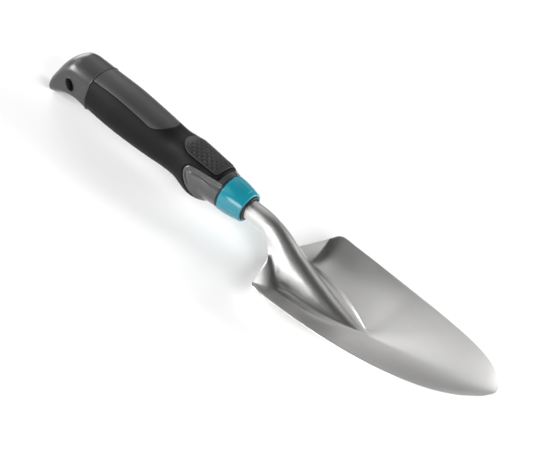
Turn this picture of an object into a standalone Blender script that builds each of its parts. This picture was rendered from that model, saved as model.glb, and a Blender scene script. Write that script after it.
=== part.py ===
"""Hand trowel: a pressed steel blade with a rolled neck in a two-part soft-grip handle.

Handle frame, in which every piece is modelled: +X runs from the tail to the tip of the blade,
+Z is the hollow side of the blade, and the origin is on the handle's axis, just ahead of the
collar's mouth. The empty "trowel_frame" then stands the assembly on the world origin. Stations
and dimensions are in millimetres, and MM turns them into metres.
"""
import math

import bmesh
import bpy
import numpy as np
from mathutils import Matrix, Vector

MM = 0.001

# Driving dimensions
GAP = 0.3                        # between pieces that touch
SHEET = 1.6                      # steel sheet
NECK_RADIUS = 6.2                # outside of the rolled neck
SEAM_ANGLE = math.radians(6.0)   # half opening of the seam under the neck
GROUND_EDGE = 0.4                # share of the thickness left at the blade's rim
TANG_END = -95.0
PIN_X = -72.0
PIN_RADIUS = 1.5

GRIP_REAR = -122.0               # seam between the grip and the end cap
GRIP_FRONT = -21.2
GRIP_WALL = 2.4
NOSE_FRONT = -17.9
SPIGOT_FRONT = -9.0              # front end of the core, inside the collar
SPIGOT_RADIUS = 8.3

COLLAR_REAR, COLLAR_FRONT = -16.4, -0.8
COLLAR_REAR_RADIUS = 11.65
COLLAR_MOUTH_RADIUS = 9.4
COLLAR_STEP = -8.7               # where the collar's bore narrows onto the bush
BUSH_RADIUS = 7.9
BUSH_LIP = 0.9                   # how far the bush stands out of the collar

WINDOW_HALF_WIDTH = 11.3         # long window in the top of the grip
WINDOW_FRONT = -65.0
WINDOW_BOW = 12.0                # length of the window's rounded front
WINDOW_FLOOR = 4.0
PAD_REAR = -54.5
PAD_FRONT = -23.4
PAD_HALF_WIDTH = 9.8
PAD_DEPTH = 1.3
PAD_PROUD = 0.3
PAD_FLOOR = 5.0

PLUG_RADIUS = 7.5                # end cap's plug in the core
PLUG_FRONT = -112.0
HOLE_X, HOLE_Z = -136.4, -0.9    # hanging hole
HOLE_LENGTH, HOLE_WIDTH = 8.6, 6.0
HOLE_LEAN = math.radians(36.0)   # long axis of the hole, top towards the tail
FACET_OFFSET = 11.8              # flat sides of the end cap, at the hole
FACET_TILT = math.radians(8.0)
FACET_YAW = math.radians(1.5)

REACH = 25.0                     # how far the cutters reach to the sides
REST_PITCH = math.radians(-1.25)   # so that the tail and the blade touch the ground together

RING_POINTS = 28
TURNED_STEPS = 28

# Handle: x, top, bottom, half width, squareness of the upper half
HANDLE_STATIONS = (
    (-122.0, 16.4, -12.1, 14.4, 2.25),
    (-110.0, 16.6, -12.9, 14.75, 2.25),
    (-100.0, 16.5, -13.2, 14.85, 2.25),
    (-88.0, 15.9, -13.1, 14.5, 2.25),
    (-76.0, 15.1, -12.7, 13.8, 2.25),
    (-66.0, 14.3, -12.1, 13.1, 2.25),
    (-59.5, 13.95, -11.7, 12.7, 2.3),
    (-54.0, 14.3, -11.7, 12.6, 2.5),
    (-49.0, 14.6, -12.3, 12.9, 2.55),
    (-43.0, 14.1, -14.0, 13.8, 2.45),
    (-37.0, 13.6, -15.1, 14.4, 2.35),
    (-31.0, 13.3, -14.5, 13.7, 2.35),
    (-25.0, 12.8, -12.9, 12.7, 2.45),
    (-21.0, 12.0, -12.2, 12.0, 2.35),
)
LOWER_SQUARENESS = 2.15
HANDLE_RINGS = 19

# Bare nose of the core: x and the radius of its round section
NOSE_STATIONS = (
    (-50.0, 12.2), (-44.0, 13.0), (-37.0, 13.1), (-30.0, 12.4), (-25.0, 11.75), (-17.9, 11.3),
)
# Side view of the bare nose, x and z, from the top front corner round its rear end
NOSE_OUTLINE = (
    (-24.0, 8.9), (-30.0, 8.8), (-37.5, 8.3), (-41.8, 6.8), (-43.4, 3.8), (-42.2, -0.4),
    (-38.9, -4.8), (-34.5, -8.6), (-30.0, -11.5), (-27.5, -14.6),
)

# End cap: x, top, bottom, half width
CAP_STATIONS = (
    (-122.3, 16.4, -12.1, 14.4),
    (-128.0, 16.4, -11.3, 14.3),
    (-134.0, 16.5, -11.5, 14.0),
    (-139.5, 15.9, -13.0, 13.5),
    (-144.0, 12.7, -15.0, 12.6),
    (-147.8, 6.9, -17.2, 11.5),
    (-150.6, 0.6, -18.3, 10.3),
    (-152.8, -5.6, -18.4, 8.7),
    (-154.0, -10.8, -17.4, 6.4),
)
CAP_RINGS = 14
CAP_SQUARENESS = 2.35

# Blade. Ridge or keel along the middle of the hollow side: x and z
MIDDLE_LINE = (
    (40.0, -3.6), (50.0, -7.2), (62.0, -11.6), (72.0, -15.0), (80.0, -17.4), (88.0, -19.0),
    (97.0, -19.4), (108.0, -16.6), (120.0, -13.0), (135.0, -8.4), (150.0, -4.4), (165.0, -0.6),
    (179.0, 5.0),
)
# Rim: x, half width and z
RIM_LINE = (
    (40.4, 42.9, -7.7), (48.0, 43.5, -7.6), (65.0, 43.2, -7.2), (85.0, 42.0, -6.5), (105.0, 39.9, -5.3),
    (120.0, 37.7, -3.9), (135.0, 34.4, -2.2), (148.0, 30.3, -0.2), (160.0, 24.3, 1.9), (170.0, 16.4, 3.7),
    (176.8, 6.5, 4.8),
)
RECESS_REAR, RECESS_TIP = 43.0, 98.0   # arrow-shaped recess round the ridge
RECESS_HALF_WIDTH = 20.2
CREST_Z = -19.8
GROOVE_DEPTH = 2.9
# Rows of the recess: x, and the power by which the wing rises from crest to rim
RIDGE_ROWS = (
    (49.0, 1.75), (56.0, 1.8), (64.0, 1.85), (73.0, 1.85), (82.0, 1.8), (90.0, 1.75), (95.5, 1.72),
)
# Shares of the groove's half width, and of the fall from ridge to groove
RIDGE_SECTION = ((0.0, 0.0), (0.27, 0.05), (0.52, 0.25), (0.74, 0.68), (1.0, 1.0))
# Shares of the way out from crest to rim
BOWL_SHARES = (0.33, 0.70, 1.0)
# Scoop ahead of the recess: x, share of the columns' even spread, curve of the section
SCOOP_ROWS = (
    (100.0, 0.12, 1.7), (107.0, 0.4, 1.66), (117.0, 0.8, 1.62), (131.0, 1.0, 1.6), (146.0, 1.0, 1.65),
    (160.0, 1.0, 1.7), (171.0, 1.0, 1.8),
)
SCOOP_CROWDED = (0.0, 0.012, 0.025, 0.04, 0.06, 0.09, 0.36, 0.7, 1.0)
TIP_X = 179.0

# Rows where the neck opens out into the rear shoulders, from the ridge to the sheet's edge
SHOULDER_ROWS = (
    ((23.2, 0.0, 4.5), (22.9, 2.8, 3.8), (22.4, 5.0, 2.0), (21.8, 6.3, -0.5), (21.1, 6.4, -2.7),
     (20.6, 6.4, -4.3), (20.2, 6.2, -5.4), (19.8, 5.8, -6.3), (19.5, 5.2, -7.0)),
    ((27.2, 0.0, 3.0), (26.9, 3.0, 2.3), (26.4, 5.3, 0.4), (25.7, 6.8, -2.4), (25.1, 7.3, -4.9),
     (24.8, 7.4, -6.5), (24.4, 7.5, -7.7), (24.1, 7.5, -8.5), (23.8, 7.3, -9.2)),
    ((31.3, 0.0, 1.2), (31.0, 3.2, 0.5), (30.4, 5.8, -1.7), (29.7, 7.5, -5.0), (29.2, 8.3, -8.2),
     (28.8, 8.8, -9.8), (28.4, 9.5, -10.8), (28.1, 10.2, -11.3), (27.8, 10.9, -11.4)),
    ((34.7, 0.0, -0.4), (34.4, 3.3, -1.2), (33.8, 6.2, -3.7), (33.0, 8.3, -7.8), (32.3, 9.7, -12.2),
     (31.8, 11.1, -13.9), (31.2, 12.4, -14.0), (30.6, 13.8, -13.2), (30.0, 15.3, -12.0)),
    ((37.4, 0.0, -1.8), (37.1, 3.5, -2.6), (36.5, 6.5, -5.4), (35.7, 9.0, -10.6), (35.0, 11.1, -16.3),
     (34.5, 13.8, -17.0), (33.9, 16.6, -15.3), (33.2, 19.6, -13.2), (32.5, 22.8, -11.6)),
    ((39.6, 0.0, -2.9), (39.4, 3.6, -3.7), (38.9, 6.8, -6.8), (38.3, 9.6, -12.6), (37.8, 12.6, -19.6),
     (37.1, 17.3, -18.4), (36.5, 21.8, -15.8), (35.8, 26.5, -13.1), (35.0, 31.3, -10.8)),
    ((41.8, 0.0, -3.9), (41.6, 3.6, -4.7), (41.3, 6.9, -7.9), (40.9, 9.7, -14.2), (40.5, 13.2, -21.8),
     (39.6, 20.4, -19.1), (38.9, 26.4, -16.3), (38.1, 32.5, -13.3), (37.2, 38.6, -10.1)),
    ((44.5, 0.0, -5.0), (44.4, 3.6, -5.8), (44.3, 6.8, -9.0), (44.2, 9.6, -15.4), (44.1, 13.4, -22.7),
     (43.6, 20.2, -20.0), (42.7, 27.5, -18.4), (41.4, 36.0, -13.3), (39.9, 44.2, -7.2)),
)
COLUMNS = 9                      # points in a row, from the middle to the edge
CREST_COLUMN = 5
CREASE_ROW = 6                   # shoulder row along the front of the rear facets


def clear_scene():
    for item in list(bpy.data.objects):
        bpy.data.objects.remove(item)


def make_collection(name):
    collection = bpy.data.collections.new(name)
    bpy.context.scene.collection.children.link(collection)
    return collection


def material(name, colour, roughness, metallic=0.0):
    made = bpy.data.materials.new(name)
    made.use_nodes = True
    shader = made.node_tree.nodes["Principled BSDF"]
    shader.inputs["Base Color"].default_value = (*colour, 1.0)
    shader.inputs["Roughness"].default_value = roughness
    shader.inputs["Metallic"].default_value = metallic
    return made


def spline(xs, ys):
    """Natural cubic spline through the points, as a function of x."""
    order = np.argsort(xs)
    xs, ys = np.array(xs, float)[order], np.array(ys, float)[order]
    gaps = np.diff(xs)
    size = len(xs)
    matrix, right = np.eye(size), np.zeros(size)
    for i in range(1, size - 1):
        matrix[i, i - 1:i + 2] = gaps[i - 1], 2 * (gaps[i - 1] + gaps[i]), gaps[i]
        right[i] = 6 * ((ys[i + 1] - ys[i]) / gaps[i] - (ys[i] - ys[i - 1]) / gaps[i - 1])
    bend = np.linalg.solve(matrix, right)

    def value(x):
        i = int(np.clip(np.searchsorted(xs, x) - 1, 0, size - 2))
        after, before, gap = xs[i + 1] - x, x - xs[i], gaps[i]
        return ((bend[i] * after ** 3 + bend[i + 1] * before ** 3) / (6 * gap)
                + (ys[i] / gap - bend[i] * gap / 6) * after
                + (ys[i + 1] / gap - bend[i + 1] * gap / 6) * before)
    return value


def splines(stations):
    """One spline for each column after the first, which is x."""
    columns = list(zip(*stations))
    return [spline(columns[0], column) for column in columns[1:]]


def power_ring(x, top, bottom, half_width, upper, lower):
    """Closed section across X, its upper and lower halves rounded by their own squareness."""
    middle, half_height = (top + bottom) / 2, (top - bottom) / 2
    ring = []
    for k in range(RING_POINTS):
        angle = math.tau * k / RING_POINTS
        c, s = math.cos(angle), math.sin(angle)
        power = upper if s > 0 else lower
        y = half_width * math.copysign(abs(c) ** (2 / power), c)
        z = middle + half_height * math.copysign(abs(s) ** (2 / power), s)
        ring.append((x, y, z))
    return ring


HANDLE_CURVES = splines(HANDLE_STATIONS)


def handle_ring(x, inset=0.0):
    top, bottom, half_width, upper = (curve(x) for curve in HANDLE_CURVES)
    return power_ring(x, top - inset, bottom + inset, half_width - inset, upper, LOWER_SQUARENESS)


def handle_rings(rear, front, inset=0.0):
    return [handle_ring(x, inset) for x in np.linspace(rear, front, HANDLE_RINGS)]


def add_object(name, bm, collection, look=None):
    mesh = bpy.data.meshes.new(name)
    bm.to_mesh(mesh)
    bm.free()
    made = bpy.data.objects.new(name, mesh)
    collection.objects.link(made)
    if look:
        mesh.materials.append(look)
    if collection is CUTTERS:
        made.hide_render = True
        made.display_type = "WIRE"
    return made


def smooth(made, angle=40.0):
    made.data.shade_smooth()
    made.data.set_sharp_from_angle(angle=math.radians(angle))


def skin_rings(bm, rings, flip=False):
    """Verts and side faces for a stack of rings; gives the rings of verts."""
    verts = [[bm.verts.new(Vector(point) * MM) for point in ring] for ring in rings]
    count = len(rings[0])
    for a, b in zip(verts[:-1], verts[1:]):
        for k in range(count):
            face = [a[k], a[(k + 1) % count], b[(k + 1) % count], b[k]]
            bm.faces.new(face[::-1] if flip else face)
    return verts


def loft(name, rings, collection, look=None):
    """Closed body through a stack of rings, with flat ends."""
    bm = bmesh.new()
    verts = skin_rings(bm, rings)
    bm.faces.new(verts[0][::-1])
    bm.faces.new(verts[-1])
    bmesh.ops.recalc_face_normals(bm, faces=bm.faces)
    return add_object(name, bm, collection, look)


def sleeve(name, outer, inner, collection, look=None):
    """Closed body between two stacks of rings that have the same ends."""
    bm = bmesh.new()
    outside, inside = skin_rings(bm, outer), skin_rings(bm, inner, flip=True)
    count = len(outer[0])
    for end in (0, -1):
        for k in range(count):
            j = (k + 1) % count
            bm.faces.new([outside[end][k], inside[end][k], inside[end][j], outside[end][j]])
    bmesh.ops.recalc_face_normals(bm, faces=bm.faces)
    return add_object(name, bm, collection, look)


def prism(name, outline, axis, low, high, collection):
    """Flat outline pushed from low to high along Y, where it gives x and z, or Z (x and y)."""
    bm = bmesh.new()
    place = {"Y": lambda u, v: (u, low, v), "Z": lambda u, v: (u, v, low)}[axis]
    push = {"Y": (0, high - low, 0), "Z": (0, 0, high - low)}[axis]
    face = bm.faces.new([bm.verts.new(Vector(place(u, v)) * MM) for u, v in outline])
    pushed = bmesh.ops.extrude_face_region(bm, geom=[face])["geom"]
    far = [item for item in pushed if isinstance(item, bmesh.types.BMVert)]
    bmesh.ops.translate(bm, vec=Vector(push) * MM, verts=far)
    bmesh.ops.recalc_face_normals(bm, faces=bm.faces)
    return add_object(name, bm, collection)


def rod(name, centre, axis, radius, length, collection, look=None, segments=28):
    """Cylinder along X or Y."""
    bm = bmesh.new()
    turn = Matrix.Rotation(math.pi / 2, 4, {"X": "Y", "Y": "X"}[axis])
    bmesh.ops.create_cone(bm, cap_ends=True, segments=segments, radius1=radius * MM, radius2=radius * MM,
                          depth=length * MM, matrix=Matrix.Translation(Vector(centre) * MM) @ turn)
    return add_object(name, bm, collection, look)


def turned(name, profile, look):
    """Turned piece about the handle's axis, from a closed profile of x and radius.

    The profile starts at the front, runs down the outside and comes back up the bore.
    """
    bm = bmesh.new()
    verts = [bm.verts.new((radius * MM, 0, x * MM)) for x, radius in profile]
    for a, b in zip(verts, verts[1:] + verts[:1]):
        bm.edges.new((a, b))
    made = add_object(name, bm, PARTS, look)
    screw = made.modifiers.new("turn", "SCREW")
    screw.axis = "Z"
    screw.steps = screw.render_steps = TURNED_STEPS
    screw.use_merge_vertices = True
    screw.merge_threshold = 0.00001
    screw.use_smooth_shade = True
    made.rotation_euler = (0, math.pi / 2, 0)
    return made


def combine(target, cutter, operation="DIFFERENCE"):
    boolean = target.modifiers.new(cutter.name, "BOOLEAN")
    boolean.operation = operation
    boolean.solver = "EXACT"
    boolean.object = cutter


def window_outline(margin):
    """Plan of the long window: open at the rear seam, with a half ellipse for its front."""
    half, front = WINDOW_HALF_WIDTH - margin, WINDOW_FRONT - margin
    bow = [(front - WINDOW_BOW * (1 - math.cos(a)), half * math.sin(a))
           for a in np.linspace(-math.pi / 2, math.pi / 2, 15)]
    rear = GRIP_REAR - 6
    return [(rear, -half), *bow, (rear, half)]


def pad_outline(margin):
    """Plan of the thumb pad: rounded rear end, square front with round corners."""
    half, front, rear = PAD_HALF_WIDTH - margin, PAD_FRONT - margin, PAD_REAR + margin
    rear_depth, corner = 10.0, 2.6
    points = [(rear + rear_depth * (1 - math.cos(a)), half * math.sin(a))
              for a in np.linspace(math.pi / 2, -math.pi / 2, 13)]
    front_half = half - 0.9
    for side in (-1, 1):
        start = -math.pi / 2 if side < 0 else 0.0
        points += [(front - corner + corner * math.cos(start + step), side * (front_half - corner)
                    + corner * math.sin(start + step)) for step in np.linspace(0, math.pi / 2, 5)]
    return points


def nose_outline(margin):
    """Side view of the bare nose, moved in by the margin, with a way out below and to the front."""
    centre = Vector((-30.0, -2.0))
    points = [Vector(point) for point in NOSE_OUTLINE]
    edge = [point - (point - centre).normalized() * margin for point in points]
    lip, front = GRIP_FRONT + margin, GRIP_FRONT + 6
    return [(lip, REACH), (lip, edge[0].y), *map(tuple, edge),
            (edge[-1].x, -REACH), (front, -REACH), (front, REACH)]


def recess_half_width(x):
    share = (x - RECESS_REAR) / (RECESS_TIP - RECESS_REAR)
    return RECESS_HALF_WIDTH * (1 - min(max(share, 0.0), 1.0) ** 2.1)


def ridge_row(x, power, middle, rim_y, rim_z):
    """Half section through the ridge, its groove, the crest and the bowl of the wing."""
    crest = recess_half_width(x)
    groove_y = 0.64 * crest
    groove_z = CREST_Z - GROOVE_DEPTH * min(1.0, crest / RECESS_HALF_WIDTH * 1.3)
    ridge = [(x, groove_y * out, middle + (groove_z - middle) * fall) for out, fall in RIDGE_SECTION]
    bowl = [(x, crest + (rim_y - crest) * out, CREST_Z + (rim_z - CREST_Z) * out ** power)
            for out in BOWL_SHARES]
    return ridge + [(x, crest, CREST_Z)] + bowl


def scoop_row(x, spread, power, middle, rim_y, rim_z):
    """Half section of the plain scoop, whose columns fan out from the tip of the recess."""
    row = []
    for k, crowded in enumerate(SCOOP_CROWDED):
        out = crowded + (k / (COLUMNS - 1) - crowded) * spread
        row.append((x, rim_y * out, middle + (rim_z - middle) * out ** power))
    return row


def neck_row(x, z, lean, radius, half_opening):
    """Half of a round section that leans forward at the top, open at the bottom."""
    step = (math.pi - half_opening) / (COLUMNS - 1)
    cage_radius = radius * 3 / (2 + math.cos(step))
    row = []
    for k in range(COLUMNS):
        height, side = cage_radius * math.cos(k * step), cage_radius * math.sin(k * step)
        row.append((x + height * math.sin(lean), side, z + height * math.cos(lean)))
    return row


def tip_row(rim_y, rim_x, rim_z, middle):
    """Edge of the point, from the tip to where the rim begins."""
    row = []
    for k in range(COLUMNS):
        out = k / (COLUMNS - 1)
        row.append((TIP_X + (rim_x - TIP_X) * out ** 1.3, rim_y * out, middle + (rim_z - middle) * out))
    return row


def blade_rows():
    middle, = splines(MIDDLE_LINE)
    rim_y, rim_z = splines(RIM_LINE)
    rows = [neck_row(x, 0.0, 0.0, NECK_RADIUS, SEAM_ANGLE) for x in (TANG_END, -50.0, -6.0, 3.0)]
    rows.append(neck_row(9.0, 0.1, math.radians(4), NECK_RADIUS, SEAM_ANGLE * 1.6))
    rows.append(neck_row(15.2, -0.4, math.radians(12), NECK_RADIUS + 0.15, SEAM_ANGLE * 4.5))
    shoulder_start = len(rows)
    rows += SHOULDER_ROWS
    rows += [ridge_row(x, power, middle(x), rim_y(x), rim_z(x)) for x, power in RIDGE_ROWS]
    rows += [scoop_row(x, spread, power, middle(x), rim_y(x), rim_z(x)) for x, spread, power in SCOOP_ROWS]
    rim_x, tip_y, tip_z = RIM_LINE[-1]
    rows.append(tip_row(tip_y, rim_x, tip_z, middle(TIP_X)))
    return rows, shoulder_start


def make_blade(look):
    rows, shoulder_start = blade_rows()
    bm = bmesh.new()
    crease = bm.edges.layers.float.new("crease_edge")
    verts = [[bm.verts.new(Vector(point) * MM) for point in row] for row in rows]
    for a, b in zip(verts[:-1], verts[1:]):
        for k in range(COLUMNS - 1):
            bm.faces.new([a[k], b[k], b[k + 1], a[k + 1]])
    recess_end = shoulder_start + len(SHOULDER_ROWS) + len(RIDGE_ROWS)
    facet = verts[shoulder_start + CREASE_ROW][CREST_COLUMN:]
    for a, b in zip(facet[:-1], facet[1:]):
        bm.edges.get((a, b))[crease] = 0.4
    crest = [row[CREST_COLUMN] for row in verts[shoulder_start + CREASE_ROW:recess_end]]
    for a, b in zip(crest[:-1], crest[1:]):
        bm.edges.get((a, b))[crease] = 0.6
    blade = add_object("blade", bm, PARTS, look)
    full = blade.vertex_groups.new(name="full_thickness")
    rim_start = shoulder_start + CREASE_ROW
    for index in range(len(rows) * COLUMNS):
        row, column = divmod(index, COLUMNS)
        on_rim = row >= rim_start and column == COLUMNS - 1 or row == len(rows) - 1
        full.add([index], GROUND_EDGE if on_rim else 1.0, "REPLACE")
    mirror = blade.modifiers.new("far half", "MIRROR")
    mirror.use_axis = (False, True, False)
    mirror.use_clip = True
    mirror.merge_threshold = 0.00005
    surface = blade.modifiers.new("pressed surface", "SUBSURF")
    surface.levels = surface.render_levels = 1
    surface.boundary_smooth = "PRESERVE_CORNERS"
    sheet = blade.modifiers.new("sheet", "SOLIDIFY")
    sheet.thickness = SHEET * MM
    sheet.offset = -1.0
    sheet.vertex_group = full.name
    combine(blade, rod("pin_hole_in_tang", (PIN_X, 0, 0), "Y", PIN_RADIUS + GAP, 30, CUTTERS, segments=16))
    smooth(blade)
    return blade


def make_soft_grip(look):
    rear, front = GRIP_REAR + GAP, GRIP_FRONT
    grip = sleeve("soft_grip", handle_rings(rear, front), handle_rings(rear, front, GRIP_WALL), PARTS, look)
    combine(grip, prism("grip_window", window_outline(0), "Z", WINDOW_FLOOR, REACH, CUTTERS))
    combine(grip, prism("grip_sides", nose_outline(0), "Y", -REACH, REACH, CUTTERS))
    pocket = sleeve("pad_pocket", handle_rings(PAD_REAR - 8, PAD_FRONT + 5, -4),
                    handle_rings(PAD_REAR - 8, PAD_FRONT + 5, PAD_DEPTH + GAP), CUTTERS)
    combine(pocket, prism("pad_pocket_plan", pad_outline(-GAP), "Z", PAD_FLOOR, REACH, CUTTERS), "INTERSECT")
    combine(grip, pocket)
    smooth(grip)
    return grip


def make_thumb_pad(look):
    outer = handle_rings(PAD_REAR - 4, PAD_FRONT + 2.2, -PAD_PROUD)
    inner = handle_rings(PAD_REAR - 4, PAD_FRONT + 2.2, PAD_DEPTH)
    pad = sleeve("thumb_pad", outer, inner, PARTS, look)
    combine(pad, prism("pad_plan", pad_outline(0), "Z", PAD_FLOOR, REACH, CUTTERS), "INTERSECT")
    smooth(pad)
    return pad


def make_handle_core(look):
    rear = GRIP_REAR + GAP
    core = loft("handle_core", handle_rings(rear, NOSE_FRONT - 0.5, GRIP_WALL + GAP), PARTS, look)
    window = loft("window_block", handle_rings(rear, WINDOW_FRONT + 4, 0.15), CUTTERS)
    combine(window, prism("window_plan", window_outline(GAP), "Z", WINDOW_FLOOR, REACH, CUTTERS), "INTERSECT")
    combine(core, window, "UNION")
    radius, = splines(NOSE_STATIONS)
    nose = loft("nose_block", [power_ring(x, radius(x), -radius(x), radius(x), 2.0, 2.0)
                               for x in np.linspace(NOSE_STATIONS[0][0], NOSE_FRONT, 14)], CUTTERS)
    combine(nose, prism("nose_plan", nose_outline(GAP), "Y", -REACH, REACH, CUTTERS), "INTERSECT")
    combine(core, nose, "UNION")
    spigot = rod("core_spigot", ((SPIGOT_FRONT + NOSE_FRONT - 6) / 2, 0, 0), "X", SPIGOT_RADIUS,
                 SPIGOT_FRONT - NOSE_FRONT + 6, CUTTERS)
    combine(core, spigot, "UNION")
    bore_rear = TANG_END - 1
    combine(core, rod("tang_bore", (bore_rear / 2, 0, 0), "X", NECK_RADIUS + GAP, -bore_rear, CUTTERS))
    combine(core, rod("pin_bore", (PIN_X, 0, 0), "Y", PIN_RADIUS + GAP, 2 * REACH, CUTTERS, segments=16))
    recess_rear, recess_front = GRIP_REAR - 5, PLUG_FRONT + GAP
    combine(core, rod("plug_recess", ((recess_rear + recess_front) / 2, 0, 2), "X", PLUG_RADIUS + GAP,
                      recess_front - recess_rear, CUTTERS))
    smooth(core)
    return core


def facet_matrix(side):
    """Plane of a flat side of the end cap, whose outward normal is the matrix's Y times the side."""
    turn = Matrix.Rotation(side * FACET_YAW, 4, "Z") @ Matrix.Rotation(-side * FACET_TILT, 4, "X")
    return Matrix.Translation(Vector((HOLE_X, side * FACET_OFFSET, HOLE_Z)) * MM) @ turn


def hole_outline():
    """Oval of the hanging hole in side view, leaning towards the tail."""
    points = []
    for angle in np.linspace(0, math.tau, 32, endpoint=False):
        along, across = HOLE_LENGTH / 2 * math.cos(angle), HOLE_WIDTH / 2 * math.sin(angle)
        points.append((HOLE_X - along * math.sin(HOLE_LEAN) + across * math.cos(HOLE_LEAN),
                       HOLE_Z + along * math.cos(HOLE_LEAN) + across * math.sin(HOLE_LEAN)))
    return points


def make_end_cap(look):
    curves = splines(CAP_STATIONS)
    rear, front = CAP_STATIONS[-1][0], CAP_STATIONS[0][0]
    rings = []
    for share in np.linspace(0, 1, CAP_RINGS):
        x = rear + (front - rear) * share ** 1.35
        top, bottom, half_width = (curve(x) for curve in curves)
        rings.append(power_ring(x, top, bottom, half_width, CAP_SQUARENESS, CAP_SQUARENESS))
    cap = loft("end_cap", rings, PARTS, look)
    combine(cap, rod("cap_plug", ((front + PLUG_FRONT) / 2 - 1, 0, 2), "X", PLUG_RADIUS,
                     PLUG_FRONT - front + 2, CUTTERS), "UNION")
    for side, name in ((-1, "near_facet"), (1, "far_facet")):
        bm = bmesh.new()
        bmesh.ops.create_cube(bm, size=1.0, matrix=facet_matrix(side)
                              @ Matrix.Translation((0, side * 10 * MM, -20 * MM))
                              @ Matrix.Diagonal((34 * MM, 20 * MM, 58 * MM, 1)))
        combine(cap, add_object(name, bm, CUTTERS))
    combine(cap, prism("hanging_hole", hole_outline(), "Y", -REACH, REACH, CUTTERS))
    smooth(cap)
    return cap


def collar_radius(x):
    share = (x - COLLAR_REAR) / (COLLAR_FRONT - COLLAR_REAR)
    return COLLAR_REAR_RADIUS + (COLLAR_MOUTH_RADIUS - COLLAR_REAR_RADIUS) * share ** 1.8


def make_collar(look):
    outside = [(x, collar_radius(x)) for x in np.linspace(COLLAR_FRONT, COLLAR_REAR, 9)]
    bore = [(COLLAR_REAR, SPIGOT_RADIUS + GAP), (COLLAR_STEP, SPIGOT_RADIUS + GAP),
            (COLLAR_STEP, BUSH_RADIUS + GAP), (COLLAR_FRONT, BUSH_RADIUS + GAP)]
    return turned("collar", outside + bore, look)


def make_seal_ring(look):
    front, rear, radius = COLLAR_REAR - GAP, NOSE_FRONT + GAP, COLLAR_REAR_RADIUS - 0.25
    inner = SPIGOT_RADIUS + GAP
    return turned("seal_ring", [(front, radius), (rear, radius), (rear, inner), (front, inner)], look)


def make_neck_bush(look):
    bore = NECK_RADIUS + GAP
    lip = COLLAR_FRONT + BUSH_LIP
    profile = [(lip, BUSH_RADIUS - 0.5), (lip - 0.5, BUSH_RADIUS), (SPIGOT_FRONT + GAP, BUSH_RADIUS),
               (SPIGOT_FRONT + GAP, bore), (COLLAR_FRONT - 1.5, bore), (lip, bore + 0.7)]
    return turned("neck_bush", profile, look)


def make_tang_pin(look):
    return rod("tang_pin", (PIN_X, 0, 0), "Y", PIN_RADIUS, 19.0, PARTS, look, segments=20)


def stand_on_origin(parts):
    """Parent every piece and cutter to one empty and stand the whole on the origin, centred."""
    frame = bpy.data.objects.new("trowel_frame", None)
    PARTS.objects.link(frame)
    for member in [*parts, *CUTTERS.objects]:
        member.parent = frame
    frame.rotation_euler = (0, REST_PITCH, 0)
    bpy.context.view_layer.update()
    graph = bpy.context.evaluated_depsgraph_get()
    corners = []
    for part in parts:
        shape = part.evaluated_get(graph)
        corners += [shape.matrix_world @ vert.co for vert in shape.data.vertices]
    low = [min(corner[k] for corner in corners) for k in range(3)]
    high = [max(corner[k] for corner in corners) for k in range(3)]
    frame.location = (-(low[0] + high[0]) / 2, -(low[1] + high[1]) / 2, -low[2])
    bpy.context.view_layer.update()


clear_scene()
PARTS = make_collection("hand_trowel")
CUTTERS = make_collection("trowel_cutters")

STEEL = material("satin_steel", (0.62, 0.61, 0.6), 0.32, 0.9)
HARD_PLASTIC = material("grey_hard_plastic", (0.06, 0.06, 0.062), 0.35)
SOFT_PLASTIC = material("black_soft_plastic", (0.018, 0.018, 0.019), 0.7)
PAD_PLASTIC = material("black_pad_plastic", (0.03, 0.03, 0.032), 0.65)
CAP_PLASTIC = material("grey_cap_plastic", (0.07, 0.07, 0.072), 0.4)
TEAL = material("teal_plastic", (0.0, 0.28, 0.42), 0.3)
BLACK_RUBBER = material("black_rubber", (0.01, 0.01, 0.01), 0.6)
BUSH_PLASTIC = material("black_bush_plastic", (0.012, 0.012, 0.012), 0.45)
PIN_STEEL = material("pin_steel", (0.5, 0.5, 0.5), 0.4, 1.0)

stand_on_origin([
    make_blade(STEEL),
    make_soft_grip(SOFT_PLASTIC),
    make_thumb_pad(PAD_PLASTIC),
    make_handle_core(HARD_PLASTIC),
    make_end_cap(CAP_PLASTIC),
    make_collar(TEAL),
    make_seal_ring(BLACK_RUBBER),
    make_neck_bush(BUSH_PLASTIC),
    make_tang_pin(PIN_STEEL),
])
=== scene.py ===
"""Hand trowel: finished surfaces, materials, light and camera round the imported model.

Every shape is made in the handle frame, in millimetres: +X runs from the tail to the tip of the
blade, +Z is the hollow side, and the origin is on the handle's axis just ahead of the collar's
mouth. TROWEL takes it to the row frame, in metres.
"""
import math

import bmesh
import bpy
import numpy as np
from mathutils import Matrix, Vector


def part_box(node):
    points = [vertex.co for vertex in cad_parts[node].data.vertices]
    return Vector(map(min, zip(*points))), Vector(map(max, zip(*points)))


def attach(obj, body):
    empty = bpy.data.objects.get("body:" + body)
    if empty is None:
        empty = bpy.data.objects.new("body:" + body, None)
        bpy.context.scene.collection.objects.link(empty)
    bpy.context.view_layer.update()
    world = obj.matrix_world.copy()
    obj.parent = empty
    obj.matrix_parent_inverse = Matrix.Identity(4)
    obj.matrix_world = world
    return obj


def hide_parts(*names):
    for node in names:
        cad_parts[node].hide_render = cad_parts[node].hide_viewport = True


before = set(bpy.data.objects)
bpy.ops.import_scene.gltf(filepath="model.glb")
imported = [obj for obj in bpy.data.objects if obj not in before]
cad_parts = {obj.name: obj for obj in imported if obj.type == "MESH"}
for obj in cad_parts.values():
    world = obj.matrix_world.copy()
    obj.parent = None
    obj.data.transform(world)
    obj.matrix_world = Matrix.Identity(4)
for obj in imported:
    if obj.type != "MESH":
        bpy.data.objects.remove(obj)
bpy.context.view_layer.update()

MM = 0.001

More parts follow.
